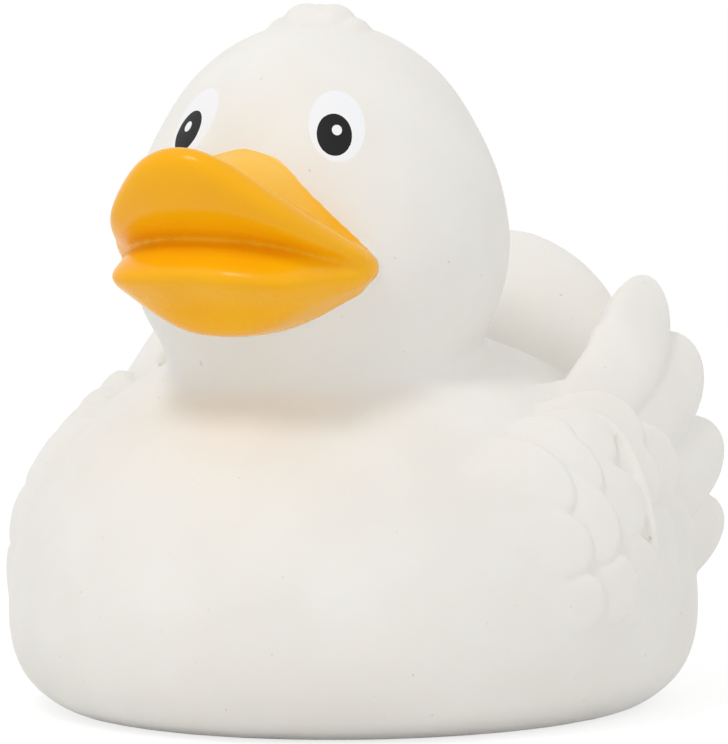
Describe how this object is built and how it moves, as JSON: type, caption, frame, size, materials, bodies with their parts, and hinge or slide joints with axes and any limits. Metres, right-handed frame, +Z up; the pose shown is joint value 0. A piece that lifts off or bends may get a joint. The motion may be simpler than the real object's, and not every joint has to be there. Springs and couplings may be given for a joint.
{
  "type": "rubber duck",
  "caption": "Hollow moulded bath duck with feathered wings held up off its sides, a wide painted bill and a squeaker pressed into its flat base.",
  "frame": {"origin": "on the ground, under the middle of the duck's length and width", "axes": "+Z up, the bill looks along -Y, the duck's left wing is on +X"},
  "size_m": [0.0772, 0.0882, 0.0797],
  "materials": {
    "vinyl": "matte off-white soft vinyl, with a glossy orange painted bill and printed black and white eyes",
    "cap_plastic": "matte natural moulded plastic",
    "reed_plastic": "matte moulded plastic"
  },
  "bodies": {
    "root": {"duck": "vinyl", "squeaker_cap": "cap_plastic", "squeaker_reed": "reed_plastic"}
  },
  "joints": []
}
